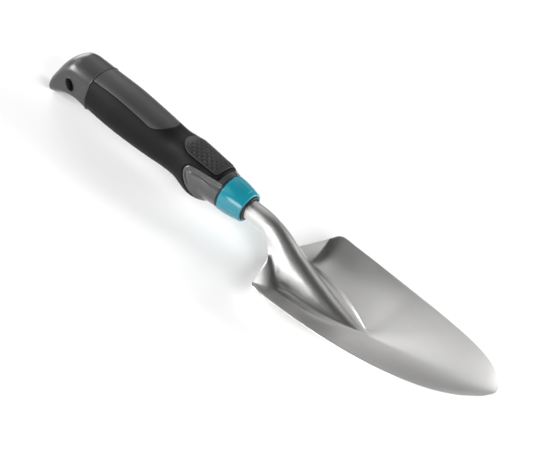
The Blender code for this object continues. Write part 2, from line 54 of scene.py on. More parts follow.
# Sizes of the handle, neck and sheet, the same as in the CAD model
REST_PITCH = math.radians(-1.25)
PIN_X = -72.0
GAP = 0.3
SHEET = 1.6
NECK_RADIUS = 6.2
SEAM_ANGLE = math.radians(6.0)
GROUND_EDGE = 0.4
TANG_END = -95.0
GRIP_REAR = -122.0
GRIP_FRONT = -21.2
NOSE_FRONT = -17.9
SPIGOT_FRONT = -9.0
SPIGOT_RADIUS = 8.3
COLLAR_REAR, COLLAR_FRONT = -16.4, -0.8
COLLAR_REAR_RADIUS = 11.65
COLLAR_MOUTH_RADIUS = 9.4
COLLAR_STEP = -8.7
BUSH_RADIUS = 7.9
BUSH_LIP = 0.9
WINDOW_HALF_WIDTH = 11.3
WINDOW_FRONT = -65.0
WINDOW_BOW = 12.0
PAD_REAR = -54.5
PAD_FRONT = -23.4
PAD_HALF_WIDTH = 9.8
HOLE_X, HOLE_Z = -136.4, -0.9
HOLE_LENGTH, HOLE_WIDTH = 8.6, 6.0
HOLE_LEAN = math.radians(36.0)
FACET_OFFSET = 11.8
FACET_TILT = math.radians(8.0)
FACET_YAW = math.radians(1.5)

# Handle: x, top, bottom, half width, squareness of the upper half
HANDLE_STATIONS = (
    (-122.0, 16.4, -12.1, 14.4, 2.25),
    (-110.0, 16.6, -12.9, 14.75, 2.25),
    (-100.0, 16.5, -13.2, 14.85, 2.25),
    (-88.0, 15.9, -13.1, 14.5, 2.25),
    (-76.0, 15.1, -12.7, 13.8, 2.25),
    (-66.0, 14.3, -12.1, 13.1, 2.25),
    (-59.5, 13.95, -11.7, 12.7, 2.3),
    (-54.0, 14.3, -11.7, 12.6, 2.5),
    (-49.0, 14.6, -12.3, 12.9, 2.55),
    (-43.0, 14.1, -14.0, 13.8, 2.45),
    (-37.0, 13.6, -15.1, 14.4, 2.35),
    (-31.0, 13.3, -14.5, 13.7, 2.35),
    (-25.0, 12.8, -12.9, 12.7, 2.45),
    (-21.0, 12.0, -12.2, 12.0, 2.35),
)
LOWER_SQUARENESS = 2.15
# Bare nose of the core: x and the radius of its round section
NOSE_STATIONS = (
    (-50.0, 12.2), (-44.0, 13.0), (-37.0, 13.1), (-30.0, 12.4), (-25.0, 11.75), (-17.9, 11.3),
)
# Side view of the bare nose, x and z, from the top front corner round its rear end; it reaches
# further than the CAD model's at both ends
NOSE_OUTLINE = (
    (-14.0, 8.9), (-24.0, 8.9), (-30.0, 8.8), (-37.5, 8.3), (-41.8, 6.8), (-43.4, 3.8), (-42.2, -0.4),
    (-38.9, -4.8), (-34.5, -8.6), (-30.0, -11.5), (-27.5, -14.6), (-26.0, -18.0),
)
# End cap: x, top, bottom, half width
CAP_STATIONS = (
    (-122.3, 16.4, -12.1, 14.4),
    (-128.0, 16.4, -11.3, 14.3),
    (-134.0, 16.5, -11.5, 14.0),
    (-139.5, 15.9, -13.0, 13.5),
    (-144.0, 12.7, -15.0, 12.6),
    (-147.8, 6.9, -17.2, 11.5),
    (-150.6, 0.6, -18.3, 10.3),
    (-152.8, -5.6, -18.4, 8.7),
    (-154.0, -10.8, -17.4, 6.4),
)
CAP_SQUARENESS = 2.35

# Blade. Its middle line, rim, ridge rows and scoop rows are the CAD model's. The crest, the groove,
# the floor of the hollow and the last shoulder row are finished up to about 1.1 mm away from it.
# Middle: x and height
MIDDLE_LINE = (
    (40.0, -3.6), (50.0, -7.2), (62.0, -11.6), (72.0, -15.0), (80.0, -17.4), (88.0, -19.0),
    (97.0, -19.4), (108.0, -16.6), (120.0, -13.0), (135.0, -8.4), (150.0, -4.4), (165.0, -0.6),
    (179.0, 5.0),
)
# Floor of the hollow beside the middle, which turns up more gently
HOLLOW_LINE = (
    (49.0, -19.0), (62.0, -19.0), (75.0, -18.95), (87.0, -18.5), (98.0, -17.5), (109.0, -15.6),
    (120.0, -12.9), (135.0, -8.4), (150.0, -4.4), (165.0, -0.6), (179.0, 5.0),
)
HOLLOW_SHARE = 0.35  # share of the half width over which the middle passes into it
# Rim: x, distance from the middle and height
RIM_LINE = (
    (40.4, 42.9, -7.7), (48.0, 43.5, -7.6), (65.0, 43.2, -7.2), (85.0, 42.0, -6.5), (105.0, 39.9, -5.3),
    (120.0, 37.7, -3.9), (135.0, 34.4, -2.2), (148.0, 30.3, -0.2), (160.0, 24.3, 1.9),
    (170.0, 16.4, 3.7), (176.8, 6.5, 4.8),
)
RECESS_REAR, RECESS_TIP = 43.0, 98.0
RECESS_HALF_WIDTH = 20.2
RECESS_POWER = 2.1  # how blunt the recess is in plan
CREST_Z = -19.0
GROOVE_DEPTH = 2.0
GROOVE_FADE = 1.3  # the groove gets shallower once the crest is 1.3 times narrower
# Rows through the ridge: x, and the power of the wing's curve
RIDGE_ROWS = (
    (49.0, 1.75), (56.0, 1.8), (64.0, 1.85), (73.0, 1.85), (82.0, 1.8), (90.0, 1.75), (95.5, 1.72),
)
# Section of the ridge: shares of the crest's half width, and of the fall from middle to groove
RIDGE_SECTION = ((0.0, 0.0), (0.17, 0.05), (0.33, 0.25), (0.45, 0.66), (0.55, 0.97), (0.76, 1.0))
# Foot of the groove's outer wall: shares of the crest's half width, and of the rise to the crest
WALL_SHARES = (0.92, 0.06)
BOWL_SHARES = (0.09, 0.38, 0.70, 1.0)  # columns of the wing, from the crest to the rim
# Rows of the plain scoop: x, how far the columns have fanned out, and the power of its curve
SCOOP_ROWS = (
    (100.0, 0.12, 1.7), (107.0, 0.4, 1.66), (117.0, 0.8, 1.62), (131.0, 1.0, 1.6), (146.0, 1.0, 1.65),
    (160.0, 1.0, 1.7), (171.0, 1.0, 1.8),
)
# Columns at the tip of the recess, as shares of the half width
SCOOP_CROWDED = (0.0, 0.01, 0.02, 0.03, 0.042, 0.055, 0.07, 0.09, 0.17, 0.4, 0.7, 1.0)
TIP_X = 179.0
TIP_POWER = 1.3  # how blunt the point is
# Neck: x, height, lean in degrees, radius, and half the seam's opening in SEAM_ANGLEs
NECK_ROWS = (
    *((x, 0.0, 0.0, NECK_RADIUS, 1.0) for x in (TANG_END, -50.0, -6.0, 3.0)),
    (9.0, 0.1, 4.0, NECK_RADIUS, 1.6),
    (15.2, -0.4, 12.0, NECK_RADIUS + 0.15, 4.5),
)
# Shoulders: points of each row from the top of the spine out to the edge, from the neck forward
SHOULDER_ROWS = (
    ((23.2, 0.0, 4.5), (22.9, 2.8, 3.8), (22.4, 5.0, 2.0), (21.8, 6.3, -0.5), (21.1, 6.4, -2.7),
     (20.6, 6.4, -4.3), (20.2, 6.2, -5.4), (19.8, 5.8, -6.3), (19.5, 5.2, -7.0)),
    ((27.2, 0.0, 3.0), (26.9, 3.0, 2.3), (26.4, 5.3, 0.4), (25.7, 6.8, -2.4), (25.1, 7.3, -4.9),
     (24.8, 7.4, -6.5), (24.4, 7.5, -7.7), (24.1, 7.5, -8.5), (23.8, 7.3, -9.2)),
    ((31.3, 0.0, 1.2), (31.0, 3.2, 0.5), (30.4, 5.8, -1.7), (29.7, 7.5, -5.0), (29.2, 8.3, -8.2),
     (28.8, 8.8, -9.8), (28.4, 9.5, -10.8), (28.1, 10.2, -11.3), (27.8, 10.9, -11.4)),
    ((34.7, 0.0, -0.4), (34.4, 3.3, -1.2), (33.8, 6.2, -3.7), (33.0, 8.3, -7.8), (32.3, 9.7, -12.2),
     (31.8, 11.1, -13.9), (31.2, 12.4, -14.0), (30.6, 13.8, -13.2), (30.0, 15.3, -12.0)),
    ((37.4, 0.0, -1.8), (37.1, 3.5, -2.6), (36.5, 6.5, -5.4), (35.7, 9.0, -10.6), (35.0, 11.1, -16.3),
     (34.5, 13.8, -17.0), (33.9, 16.6, -15.3), (33.2, 19.6, -13.2), (32.5, 22.8, -11.6)),
    ((39.6, 0.0, -2.9), (39.4, 3.6, -3.7), (38.9, 6.8, -6.8), (38.3, 9.6, -12.6), (37.8, 12.6, -19.6),
     (37.1, 17.3, -18.4), (36.5, 21.8, -15.8), (35.8, 26.5, -13.1), (35.0, 31.3, -10.8)),
    ((41.8, 0.0, -3.9), (41.6, 3.6, -4.7), (41.3, 6.9, -7.9), (40.9, 9.7, -14.2), (40.5, 13.2, -21.8),
     (39.6, 20.4, -19.1), (38.9, 26.4, -16.3), (38.1, 32.5, -13.3), (37.2, 38.6, -10.1)),
    ((44.5, 0.0, -5.0), (44.4, 3.6, -5.8), (44.3, 6.8, -9.0), (44.2, 9.6, -15.4), (44.1, 13.4, -22.3),
     (43.6, 20.2, -19.3), (42.7, 27.5, -18.4), (41.4, 36.0, -13.3), (39.9, 44.2, -7.2)),
)
GROOVE_COLUMNS = (0.45, 0.8)  # columns let in between a shoulder row's groove and crest
CREST_FOOT = 0.35  # and the one just outside its crest
COLUMNS = 12
CREST_COLUMN = 7
CREASE_ROW = 6  # shoulder row where the folded edge begins
FACET_CREASE = 0.65
CREST_CREASE = 0.5
SUBDIVISIONS = 3
EDGE_SOFTENING = 0.22  # width of the bevel along the sheet's edges

# Mesh sizes along the handle and steps of the surfaces
CELL = 0.75
WINDOW_CELL = 0.8
NOSE_CELL = 0.42
PAD_CELL = 0.36
CAP_CELL = 0.62
ROLL_STEPS = 4  # faces round a rolled edge
SLOPE_STEP = 2e-3  # step for measuring a surface's slopes
SNAP_SHARE = 0.35  # points nearer a cut than this share of a cell are moved onto it
SNAP_ROUNDS = 4
CUT_ROUNDS = 14  # halvings that find where an edge crosses the cut

# Walls of the finished shells
GRIP_WALL = 1.9
PAD_WALL = 1.5
WINDOW_WALL = 2.9
NOSE_WALL = 1.6
CORE_INSET = 2.3  # depth of the core's body under the outside of the grip
NOSE_INSET = 0.55  # depth of the nose's rim

# Radii of the rolled edges, and what each piece stands back from its outline
WINDOW_GRIP_ROLL, WINDOW_ROLL, WINDOW_BACK = 0.14, 0.12, 0.03
PAD_ROLL, PAD_GRIP_ROLL, PAD_BACK = 0.5, 0.28, 0.12
PAD_ROLL_LOSS, PAD_GRIP_ROLL_LOSS = 0.42, 0.2
PAD_ROLL_FADE = (-46.0, -52.0)  # the rolls round the pad lose that much towards its rear
NOSE_ROLL, NOSE_BACK = 0.3, 0.05
GRIP_FRONT_ROLL, GRIP_REAR_ROLL = 0.75, 0.25
CAP_SEAM_ROLL, HOLE_ROLL = 0.3, 0.5

# Relief
ABOVE_Z = 3.0  # the window and the pad lie above this height
PAD_REAR_DEPTH, PAD_CORNER = 10.0, 2.6
PAD_TAPER, PAD_TAPER_LENGTH = 0.9, 19.0
PAD_CROWN = 0.28
PAD_CROWN_RISE = (-54.0, -47.0)
PAD_TURN_RADIUS = 14.6  # radius of the grip's section under the pad
DIMPLE_PITCH = 4.0
DIMPLE_RADIUS = 1.0
DIMPLE_DEPTH = 0.46
DIMPLE_ORIGIN = -40.0
DIMPLE_START = (-50.5, -47.0)
DIMPLE_MARGIN = (1.0, 1.6)  # distance inside the pad's outline where the dimples begin
NOSE_BLEND = (0.5, 4.5)  # distance inside the nose's outline where it becomes round
BEAD = (0.45, 1.1, 1.1)  # height, distance inside the outline and half width
VALLEY = (-0.5, 3.3, 2.0)
PARTING_LINES = (math.radians(190), math.radians(350))
PARTING_HALF_WIDTH = 0.18
NOSE_LINE_DEPTH, COLLAR_LINE_DEPTH = 0.2, 0.16
KEY_HEIGHT = 0.3
KEY_SIDE = (2.75, 2.35)  # the key's side falls over this distance from its middle
KEY_FRONT = (-3.4, -4.0)


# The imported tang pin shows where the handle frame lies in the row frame
pin_low, pin_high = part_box("tang_pin")
TURN = Matrix.Rotation(REST_PITCH, 4, "Y")
TROWEL = Matrix.Translation((pin_low + pin_high) / 2 - TURN @ Vector((PIN_X * MM, 0, 0))) @ TURN


# ---- Curves and sections ------------------------------

def spline(xs, ys):
    """Natural cubic spline through the points, as a function of an array of x."""
    order = np.argsort(xs)
    xs, ys = np.array(xs, float)[order], np.array(ys, float)[order]
    gaps = np.diff(xs)
    size = len(xs)
    matrix, right = np.eye(size), np.zeros(size)
    for i in range(1, size - 1):
        matrix[i, i - 1:i + 2] = gaps[i - 1], 2 * (gaps[i - 1] + gaps[i]), gaps[i]
        right[i] = 6 * ((ys[i + 1] - ys[i]) / gaps[i] - (ys[i] - ys[i - 1]) / gaps[i - 1])
    bend = np.linalg.solve(matrix, right)

    def value(x):
        i = np.clip(np.searchsorted(xs, x) - 1, 0, size - 2)
        after, before, gap = xs[i + 1] - x, x - xs[i], gaps[i]
        return ((bend[i] * after ** 3 + bend[i + 1] * before ** 3) / (6 * gap)
                + (ys[i] / gap - bend[i] * gap / 6) * after
                + (ys[i + 1] / gap - bend[i + 1] * gap / 6) * before)
    return value


def splines(stations):
    columns = list(zip(*stations))
    return [spline(columns[0], column) for column in columns[1:]]


def smooth_curve(points, count):
    """Points evenly spread along a smooth curve through the given ones."""
    points = np.array(points, float)
    along = np.concatenate([[0], np.cumsum(np.hypot(*np.diff(points, axis=0).T))])
    even = np.linspace(0, along[-1], count)
    return np.stack([spline(along, points[:, k])(even) for k in range(2)], 1)


def smooth_step(low, high, value):
    share = np.clip((value - low) / (high - low), 0, 1)
    return share * share * (3 - 2 * share)


def smooth_min(a, b, width):
    share = np.clip(0.5 + 0.5 * (b - a) / width, 0, 1)
    return b + (a - b) * share - width * share * (1 - share)


def section(x, angle, top, bottom, half_width, upper, lower):
    """Point of a rounded section across X, at an angle from +Y towards +Z."""
    c, s = np.cos(angle), np.sin(angle)
    power = np.where(s > 0, upper, lower)
    half_height = (top - bottom) / 2
    radius = (np.abs(c / half_width) ** power + np.abs(s / half_height) ** power) ** (-1 / power)
    return np.stack([x + 0 * angle, radius * c, (top + bottom) / 2 + radius * s], -1)


def round_section(x, angle, radius):
    return section(x, angle, radius, -radius, radius, 2.0, 2.0)


HANDLE_CURVES = splines(HANDLE_STATIONS)
NOSE_RADIUS, = splines(NOSE_STATIONS)
CAP_CURVES = splines(CAP_STATIONS)


def handle_surface(x, angle, inset=0.0):
    top, bottom, half_width, upper = (curve(x) for curve in HANDLE_CURVES)
    return section(x, angle, top - inset, bottom + inset, half_width - inset, upper, LOWER_SQUARENESS)


# ---- Distances to the outlines, positive outside ------

def ellipse_distance(u, v, half_u, half_v):
    """Distance outside an ellipse about the origin, exact at its edge."""
    along, across = u / half_u, v / half_v
    reach = np.hypot(along, across) + 1e-9
    slope = np.hypot(along / half_u, across / half_v) / reach + 1e-9
    return (reach - 1) / slope


def outside_window(point):
    """Distance outside the long window, in plan; everything underneath counts as outside."""
    x, y, z = point[..., 0], point[..., 1], point[..., 2]
    ahead = np.maximum(x - (WINDOW_FRONT - WINDOW_BOW), 0)
    return np.maximum(ellipse_distance(ahead, y, WINDOW_BOW, WINDOW_HALF_WIDTH), ABOVE_Z - z)


def outside_pad(point):
    """Distance outside the thumb pad, in plan."""
    x, y, z = point[..., 0], point[..., 1], point[..., 2]
    behind = PAD_REAR + PAD_REAR_DEPTH - x
    half = PAD_HALF_WIDTH - PAD_TAPER * np.clip(-behind / PAD_TAPER_LENGTH, 0, 1)
    along, across = x - (PAD_FRONT - PAD_CORNER), np.abs(y) - (half - PAD_CORNER)
    front = np.hypot(np.maximum(along, 0), np.maximum(across, 0))
    front = front + np.minimum(np.maximum(along, across), 0) - PAD_CORNER
    rear = ellipse_distance(behind, y, PAD_REAR_DEPTH, PAD_HALF_WIDTH)
    return np.maximum(np.where(behind > 0, rear, front), ABOVE_Z - z)


NOSE_EDGE = smooth_curve(NOSE_OUTLINE, 90)


def outside_nose(point):
    """Distance outside the bare nose, in side view."""
    place = np.stack([point[..., 0], point[..., 2]], -1)[..., None, :]
    start, step = NOSE_EDGE[:-1], np.diff(NOSE_EDGE, axis=0)
    share = np.clip(((place - start) * step).sum(-1) / (step ** 2).sum(-1), 0, 1)
    away = place - start - share[..., None] * step
    distance = np.hypot(away[..., 0], away[..., 1])
    nearest = distance.argmin(-1)
    away = np.take_along_axis(away, nearest[..., None, None], -2)[..., 0, :]
    side = step[nearest][..., 0] * away[..., 1] - step[nearest][..., 1] * away[..., 0]
    return np.where(side < 0, 1, -1) * distance.min(-1)


def hole_distance(point):
    """Distance outside the hanging hole, in side view."""
    u, v = point[..., 0] - HOLE_X, point[..., 2] - HOLE_Z
    c, s = math.cos(HOLE_LEAN), math.sin(HOLE_LEAN)
    return ellipse_distance(v * c - u * s, u * c + v * s, HOLE_LENGTH / 2, HOLE_WIDTH / 2)


# ---- Meshes from surfaces -----------------------------

def frame_of(surface, u, v):
    """Points of a surface and its two tangents and outward normal there."""
    step = SLOPE_STEP
    along = (surface(u + step, v) - surface(u - step, v)) / (2 * step)
    round_ = (surface(u, v + step) - surface(u, v - step)) / (2 * step)
    normal = np.cross(round_, along)
    normal /= np.linalg.norm(normal, axis=-1, keepdims=True) + 1e-12
    return surface(u, v), along, round_, normal


def raised(surface, height):
    """The surface moved out along its normal by height(point)."""
    def value(u, v):
        point, _, _, normal = frame_of(surface, u, v)
        return point + normal * height(point)[..., None]
    return value


def on_surface(surface, field, u, v):
    """A field's distance measured along the surface, and the step in u and v that brings it to 0."""
    step = SLOPE_STEP
    point, along, round_, _ = frame_of(surface, u, v)
    value = field(point)
    du = (field(surface(u + step, v)) - field(surface(u - step, v))) / (2 * step)
    dv = (field(surface(u, v + step)) - field(surface(u, v - step))) / (2 * step)
    uu, uv, vv = (along ** 2).sum(-1), (along * round_).sum(-1), (round_ ** 2).sum(-1)
    spread = uu * vv - uv ** 2 + 1e-12
    up, vp = (vv * du - uv * dv) / spread, (uu * dv - uv * du) / spread
    slope = np.sqrt(np.maximum(du * up + dv * vp, 1e-6))
    return value / slope, -value * up / slope ** 2, -value * vp / slope ** 2


def cut_patch(surface, us, vs, field):
    """Grid over the surface, cut along field = 0 and kept where it is positive: u, v and faces."""
    u, v = (grid.ravel().copy() for grid in np.meshgrid(us, vs, indexing="ij"))
    rows, columns = len(us), len(vs)
    distance, _, _ = on_surface(surface, field, u, v)
    near = np.abs(distance) < SNAP_SHARE * min(CELL, np.ptp(us) / (rows - 1))
    for _ in range(SNAP_ROUNDS):
        _, du, dv = on_surface(surface, field, u[near], v[near])
        u[near] += du
        v[near] += dv
    value = field(surface(u, v))
    value[near] = 0.0
    cuts, cut_ends, faces = {}, [], []

    def cut(a, b):
        key = (min(a, b), max(a, b))
        if key not in cuts:
            cuts[key] = len(u) + len(cuts)
            cut_ends.append(key)
        return cuts[key]

    for i in range(rows - 1):
        for j in range(columns - 1):
            corner, beside = i * columns + j, (i + 1) * columns + j
            cell = [corner, beside, beside + 1, corner + 1]
            if min(value[k] for k in cell) >= 0:
                faces.append(cell)
                continue
            if max(value[k] for k in cell) <= 0:
                continue
            face = []
            for a, b in zip(cell, cell[1:] + cell[:1]):
                if value[a] >= 0:
                    face.append(a)
                if value[a] * value[b] < 0:
                    face.append(cut(a, b))
            if len(face) > 2:
                faces.append(face)
    if cut_ends:
        a, b = np.array(cut_ends).T
        low, high = np.zeros(len(a)), np.ones(len(a))
        for _ in range(CUT_ROUNDS):
            middle = (low + high) / 2
            point = surface(u[a] + (u[b] - u[a]) * middle, v[a] + (v[b] - v[a]) * middle)
            same = field(point) * value[a] > 0
            low, high = np.where(same, middle, low), np.where(same, high, middle)
        share = (low + high) / 2
        u = np.append(u, u[a] + (u[b] - u[a]) * share)
        v = np.append(v, v[a] + (v[b] - v[a]) * share)
    return u, v, faces


def weld(points, faces):
    """Merge points in the same place and drop what collapses: kept indices and faces."""
    _, first, new = np.unique(np.round(points, 4), axis=0, return_index=True, return_inverse=True)
    new = new.ravel()
    welded = []
    for face in faces:
        ring = [int(new[k]) for k in face]
        ring = [k for k, before in zip(ring, ring[-1:] + ring[:-1]) if k != before]
        if len(set(ring)) == len(ring) > 2:
            welded.append(ring)
    used = sorted({k for face in welded for k in face})
    place = {k: n for n, k in enumerate(used)}
    return first[used], [[place[k] for k in face] for face in welded]


def border_turns(points, normals, faces):
    """Border edges, and each border point's way out along the surface."""
    edges = {(a, b) for face in faces for a, b in zip(face, face[1:] + face[:1])}
    border = sorted((a, b) for a, b in edges if (b, a) not in edges)
    out = {}
    for a, b in border:
        away = np.cross(points[b] - points[a], normals[a])
        away /= np.linalg.norm(away) + 1e-12
        for k in (a, b):
            out.setdefault(k, []).append(away)
    for k, turns in out.items():
        total = np.sum(turns, axis=0)
        total -= normals[k] * total.dot(normals[k])
        out[k] = total / (np.linalg.norm(total) + 1e-12)
    return border, out


def cut_sheet(surface, us, vs, field):
    """The kept part of a surface: welded points, their normals, and faces that look outward."""
    u, v, faces = cut_patch(surface, us, vs, field)
    points, _, _, normals = frame_of(surface, u, v)
    index, faces = weld(points, faces)
    points, normals = points[index], normals[index]
    sample = faces[len(faces) // 2]
    a, b, c = (points[k] for k in sample[:3])
    if np.cross(b - a, c - a).dot(normals[sample[0]]) < 0:
        faces = [face[::-1] for face in faces]
    return points, normals, faces


def rolled_border(points, normals, faces, radius, wall=None):
    """Roll a sheet's border down through a quarter turn and then, with a wall, on down to its depth.

    Gives all points, the faces of the roll, the border's edges, and its points in the last ring.
    """
    border, out = border_turns(points, normals, faces)
    steps = [(turn, False) for turn in np.linspace(0, math.pi / 2, ROLL_STEPS + 1)[1:]]
    if wall is not None:
        steps.append((math.pi / 2, True))
    verts, roll = list(points), []
    last = {k: k for k in out}
    for turn, at_wall in steps:
        ring = {}
        for k, away in out.items():
            drop = wall if at_wall else radius[k] * (1 - math.cos(turn))
            ring[k] = len(verts)
            verts.append(points[k] + away * radius[k] * math.sin(turn) - normals[k] * drop)
        roll += [[last[b], last[a], ring[a], ring[b]] for a, b in border]
        last = ring
    return verts, roll, border, last


def rolled_shell(surface, us, vs, field, radius, wall):
    """Closed shell: the kept part of a surface, with rolled edges, and a wall's thickness below it.

    radius(point) is the roll's radius; the shell's walls stand on field = 0.
    """
    def kept(point):
        return field(point) - radius(point)

    points, normals, faces = cut_sheet(surface, us, vs, kept)
    verts, roll, _, inner = rolled_border(points, normals, faces, radius(points), wall)
    for k in range(len(points)):
        if k not in inner:
            inner[k] = len(verts)
            verts.append(points[k] - normals[k] * wall)
    below = [[inner[k] for k in face[::-1]] for face in faces]
    return np.array(verts), faces + roll + below


def rings_body(rings, closed=False):
    """Body through a stack of rings of equal length; closed joins the last ring to the first."""
    rings = np.array(rings, float)
    count, size = rings.shape[:2]
    faces = []
    for i in range(count if closed else count - 1):
        a, b = i * size, (i + 1) % count * size
        faces += [[a + k, a + (k + 1) % size, b + (k + 1) % size, b + k] for k in range(size)]
    if not closed:
        faces += [list(range(size))[::-1], list(range((count - 1) * size, count * size))]
    return rings.reshape(-1, 3), faces


def fillet(corners, steps=5):
    """Closed profile of x and radius, with each corner (x, radius, fillet radius) rounded."""
    profile = []
    for k, (x, r, size) in enumerate(corners):
        corner = np.array((x, r))
        before, after = (np.array(corners[(k + turn) % len(corners)][:2]) - corner for turn in (-1, 1))
        before, after = before / np.linalg.norm(before), after / np.linalg.norm(after)
        if size == 0:
            profile.append(corner)
            continue
        half = math.acos(np.clip(before.dot(after), -1, 1)) / 2
        bisector = (before + after) / np.linalg.norm(before + after)
        centre = corner + bisector * size / math.sin(half)
        start, end = (corner + way * size / math.tan(half) - centre for way in (before, after))
        turn = math.atan2(start[0] * end[1] - start[1] * end[0], start.dot(end))
        for share in np.linspace(0, 1, steps):
            c, s = math.cos(turn * share), math.sin(turn * share)
            turned = (start[0] * c - start[1] * s, start[0] * s + start[1] * c)
            profile.append(centre + np.array(turned))
    return np.array(profile)


def turned_body(profile, count=160, relief=None):
    """Body turned about X from a closed profile; relief(x, radius, angle) is added to the radius."""
    angles = np.linspace(0, math.tau, count, endpoint=False)
    rings = []
    for x, r in profile:
        radius = r + (relief(x, r, angles) if relief else 0 * angles)
        rings.append(np.stack([x + 0 * angles, radius * np.cos(angles), radius * np.sin(angles)], -1))
    return rings_body(rings, closed=True)


def joined(*bodies):
    verts, faces = [], []
    for points, shape in bodies:
        start = sum(len(group) for group in verts)
        verts.append(points)
        faces += [[k + start for k in face] for face in shape]
    return np.concatenate(verts), faces


def new_object(name, data):
    thing = bpy.data.objects.new(name, data)
    bpy.context.scene.collection.objects.link(thing)
    return thing


def add_piece(name, body, look, nodes, sharp=50.0):
    """Mesh object in the row frame that stands for CAD nodes and rides on the one body."""
    points, faces = body
    mesh = bpy.data.meshes.new(name)
    mesh.from_pydata((np.asarray(points) * MM).tolist(), [], faces)
    mesh.transform(TROWEL)
    bm = bmesh.new()
    bm.from_mesh(mesh)
    bmesh.ops.recalc_face_normals(bm, faces=bm.faces)
    bm.to_mesh(mesh)
    bm.free()
    mesh.shade_smooth()
    mesh.set_sharp_from_angle(angle=math.radians(sharp))
    mesh.materials.append(look)
    settle(new_object(name, mesh), nodes)


def settle(piece, nodes):
    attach(piece, "root")
    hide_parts(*nodes)


# ---- Materials ----------------------------------------

class Look:
    """A Principled material and the few node helpers that the finishes share."""

    def __init__(self, name, **sockets):
        self.material = bpy.data.materials.new(name)
        self.material.use_nodes = True
        self.tree = self.material.node_tree
        self.shader = self.tree.nodes["Principled BSDF"]
        for socket, value in sockets.items():
            self.shader.inputs[socket.replace("_", " ")].default_value = value
        self.place = self.add("ShaderNodeTexCoord").outputs["Object"]

    def add(self, kind, **settings):
        node = self.tree.nodes.new(kind)
        for key, value in settings.items():
            setattr(node, key, value)
        return node

    def link(self, start, end):
        self.tree.links.new(start, end)

    def noise(self, scale, detail=3.0, stretch=(1, 1, 1), roughness=0.5):
        """Noise with a grain of 1 / scale metres, stretched along an axis by a share under 1."""
        mapping = self.add("ShaderNodeMapping")
        mapping.inputs["Scale"].default_value = stretch
        noise = self.add("ShaderNodeTexNoise")
        noise.inputs["Scale"].default_value = scale
        noise.inputs["Detail"].default_value = detail
        noise.inputs["Roughness"].default_value = roughness
        self.link(self.place, mapping.inputs["Vector"])
        self.link(mapping.outputs["Vector"], noise.inputs["Vector"])
        return noise.outputs["Fac"]

    def spread(self, value, low, high, start=0.3, end=0.7):
        """Values from start to end, mapped to low to high."""
        node = self.add("ShaderNodeMapRange")
        node.inputs["From Min"].default_value = start
        node.inputs["From Max"].default_value = end
        node.inputs["To Min"].default_value = low
        node.inputs["To Max"].default_value = high
        self.link(value, node.inputs["Value"])
        return node.outputs["Result"]

    def colour(self, value, dark, light):
        """Base colour that runs from dark to light with the value."""
        node = self.add("ShaderNodeMix", data_type="RGBA")
        node.inputs["A"].default_value = (*dark, 1)
        node.inputs["B"].default_value = (*light, 1)
        self.link(value, node.inputs["Factor"])
        self.link(node.outputs["Result"], self.shader.inputs["Base Color"])

    def roughness(self, value):
        self.link(value, self.shader.inputs["Roughness"])

    def bumps(self, *layers):
        """Bump layers of (height output, depth in metres), one on the other."""
        normal = None
        for height, depth in layers:
            bump = self.add("ShaderNodeBump")
            bump.inputs["Strength"].default_value = 1.0
            bump.inputs["Distance"].default_value = depth
            self.link(height, bump.inputs["Height"])
            if normal:
                self.link(normal, bump.inputs["Normal"])
            normal = bump.outputs["Normal"]
        self.link(normal, self.shader.inputs["Normal"])


def satin_steel():
    """Bare steel: clouded, with a fine grain drawn out along the trowel."""
    look = Look("satin_steel", Metallic=1.0)
    cloud, grain = look.noise(35, 4), look.noise(900, 3, stretch=(0.12, 1, 1))
    look.colour(look.spread(cloud, 0, 1), (0.77, 0.765, 0.755), (0.83, 0.825, 0.815))
    look.roughness(look.spread(grain, 0.36, 0.4))
    return look.material


CLOUD_SCALE = 60  # of the plastics' colour


def moulded(name, dark, light, roughness, grain_scale, grain_depth, **sockets):
    """Moulded plastic: cloudy colour, a fine surface grain and slightly uneven gloss."""
    look = Look(name, **sockets)
    cloud, grain = look.noise(CLOUD_SCALE), look.noise(grain_scale, 2, roughness=0.6)
    look.colour(look.spread(cloud, 0, 1), dark, light)
    unevenness = 0.015
    look.roughness(look.spread(look.noise(500), roughness - unevenness, roughness + unevenness))
    look.bumps((grain, grain_depth))
    return look.material


def core_plastic():
    """Hard plastic of the core: glossy at the nose, satin along the window. One plastic, painted a
    lighter grey at the nose as painted sheen and a darker grey along the window as painted shade.
    """
    look = Look("grey_hard_plastic", Specular_IOR_Level=1.0)
    parts = look.add("ShaderNodeSeparateXYZ")
    look.link(look.place, parts.inputs["Vector"])
    window_end = (TROWEL @ Vector((WINDOW_FRONT * MM, 0, 0))).x
    cloud = 0.1
    # painted sheen and shade: this mask gives the nose a lighter grey and the window a darker grey, and
    # also a real change of gloss
    nose_gloss_and_painted_sheen = look.spread(parts.outputs["X"], cloud, 1 - cloud, window_end, window_end + 0.01)
    cloud_and_painted_sheen = look.add("ShaderNodeMath", operation="ADD")
    look.link(nose_gloss_and_painted_sheen, cloud_and_painted_sheen.inputs[0])
    look.link(look.spread(look.noise(CLOUD_SCALE), -cloud, cloud), cloud_and_painted_sheen.inputs[1])
    # painted sheen on the nose and painted shade along the window, with a real cloudy tone on top
    look.colour(cloud_and_painted_sheen.outputs["Value"], (0.019, 0.019, 0.0195), (0.049, 0.049, 0.0495))
    look.roughness(look.spread(nose_gloss_and_painted_sheen, 0.42, 0.22, cloud, 1 - cloud))
    look.bumps((look.noise(2500, 2, roughness=0.6), 0.000003))
    return look.material


def floor_look():
    look = Look("floor", Roughness=0.9, Specular_IOR_Level=0.1)
    look.colour(look.spread(look.noise(3, 2), 0, 1), (0.94, 0.94, 0.94), (0.97, 0.97, 0.97))
    return look.material


